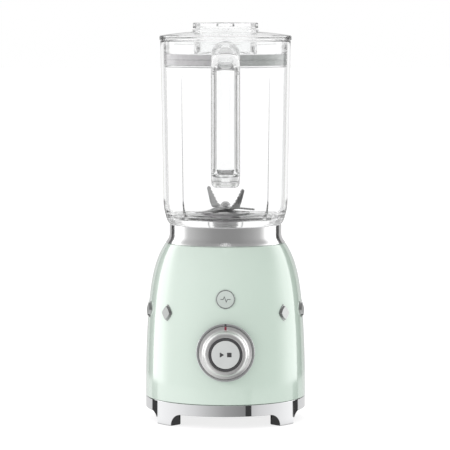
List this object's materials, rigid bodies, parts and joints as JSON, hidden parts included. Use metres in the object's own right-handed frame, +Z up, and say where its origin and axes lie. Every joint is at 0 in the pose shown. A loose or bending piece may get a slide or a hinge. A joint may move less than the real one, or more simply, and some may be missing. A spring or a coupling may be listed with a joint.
{
  "type": "countertop blender",
  "caption": "Countertop blender: clear handled jug with lid, filler cap and blade unit on a round motor base with a speed knob.",
  "frame": {"origin": "middle of the footprint's bounding box, on the surface the feet stand on", "axes": "+Z up along the drive axis, which stands 18.4 mm behind the origin; the knob and the jug's handle face -Y; +X is to the right seen from the front"},
  "size_m": [0.1604, 0.1972, 0.3972],
  "materials": {
    "enamel": "gloss pastel green enamel",
    "chrome": "polished",
    "steel": "satin",
    "cast": "as cast",
    "laminations": "stacked sheet",
    "copper": "lacquered wire",
    "brass": "machined",
    "rubber": "matt",
    "silicone": "matt, translucent grey",
    "black": "moulded",
    "clear": "clear, polished",
    "grey": "silver grey",
    "red": "moulded insert",
    "board": "solder resist"
  },
  "bodies": {
    "base": {"base_ring": "chrome", "foot_pad_1": "rubber", "foot_pad_2": "rubber", "foot_pad_3": "rubber", "foot_pad_4": "rubber", "base_plate": "black", "base_screw_1": "steel", "base_screw_2": "steel", "base_screw_3": "steel", "cord_inlet": "rubber", "body_shell": "enamel", "neck_collar": "chrome", "jug_seat": "black", "seat_gasket": "rubber", "side_stud_right_1": "chrome", "side_stud_right_2": "chrome", "side_stud_right_3": "chrome", "side_stud_right_4": "chrome", "side_stud_left_1": "chrome", "side_stud_left_2": "chrome", "side_stud_left_3": "chrome", "side_stud_left_4": "chrome", "control_board": "board", "motor_stator": "laminations", "field_coil_left": "copper", "field_coil_right": "copper", "upper_bracket": "cast", "lower_bracket": "cast", "upper_bearing": "steel", "lower_bearing": "steel", "brush_holder_front": "brass", "brush_holder_rear": "brass", "knob_bezel": "chrome", "light_ring": "black", "selector_encoder": "black", "pulse_bezel": "chrome"},
    "rotor": {"motor_shaft": "steel", "rotor_core": "laminations", "commutator": "copper", "cooling_fan": "black", "drive_coupling": "black"},
    "jug_unit": {"jug": "clear", "jug_handle": "clear", "holder_gasket": "silicone", "blade_holder": "steel", "holder_nut": "grey", "shaft_seal": "rubber", "shaft_bush": "brass"},
    "blade_unit": {"blade_shaft": "steel", "driven_coupling": "black", "lower_blade": "steel", "upper_blade": "steel", "dome_nut": "steel"},
    "lid_unit": {"lid": "clear", "lid_gasket": "silicone"},
    "cap_unit": {"filler_cap": "clear"},
    "knob_unit": {"speed_knob": "chrome", "knob_pointer": "red"},
    "start_unit": {"start_button": "grey"},
    "pulse_unit": {"pulse_button": "grey"}
  },
  "joints": [
    {"name": "motor_spin", "type": "hinge", "parent": "base", "child": "rotor", "pos_m": [0, 0.0184, 0.1], "axis": [0, 0, 1], "continuous": true},
    {"name": "jug_lift", "type": "slide", "parent": "base", "child": "jug_unit", "axis": [0, 0, 1], "range_m": [0, 0.08]},
    {"name": "blade_spin", "type": "hinge", "parent": "jug_unit", "child": "blade_unit", "pos_m": [0, 0.0184, 0.2], "axis": [0, 0, 1], "continuous": true},
    {"name": "lid_lift", "type": "slide", "parent": "jug_unit", "child": "lid_unit", "axis": [0, 0, 1], "range_m": [0, 0.06]},
    {"name": "cap_lift", "type": "slide", "parent": "lid_unit", "child": "cap_unit", "axis": [0, 0, 1], "range_m": [0, 0.05]},
    {"name": "knob_turn", "type": "hinge", "parent": "base", "child": "knob_unit", "pos_m": [0, -0.0608, 0.0764], "axis": [0, 1, 0], "range_deg": [-135, 135]},
    {"name": "start_push", "type": "slide", "parent": "base", "child": "start_unit", "axis": [0, 1, 0], "range_m": [0, 0.002], "stiffness_N_per_m": 500},
    {"name": "pulse_push", "type": "slide", "parent": "base", "child": "pulse_unit", "axis": [0, 0.9928, -0.1197], "range_m": [0, 0.0015], "stiffness_N_per_m": 500}
  ],
  "couplings": [
    {"joint": "blade_spin", "follows": "motor_spin", "ratio": 1}
  ]
}
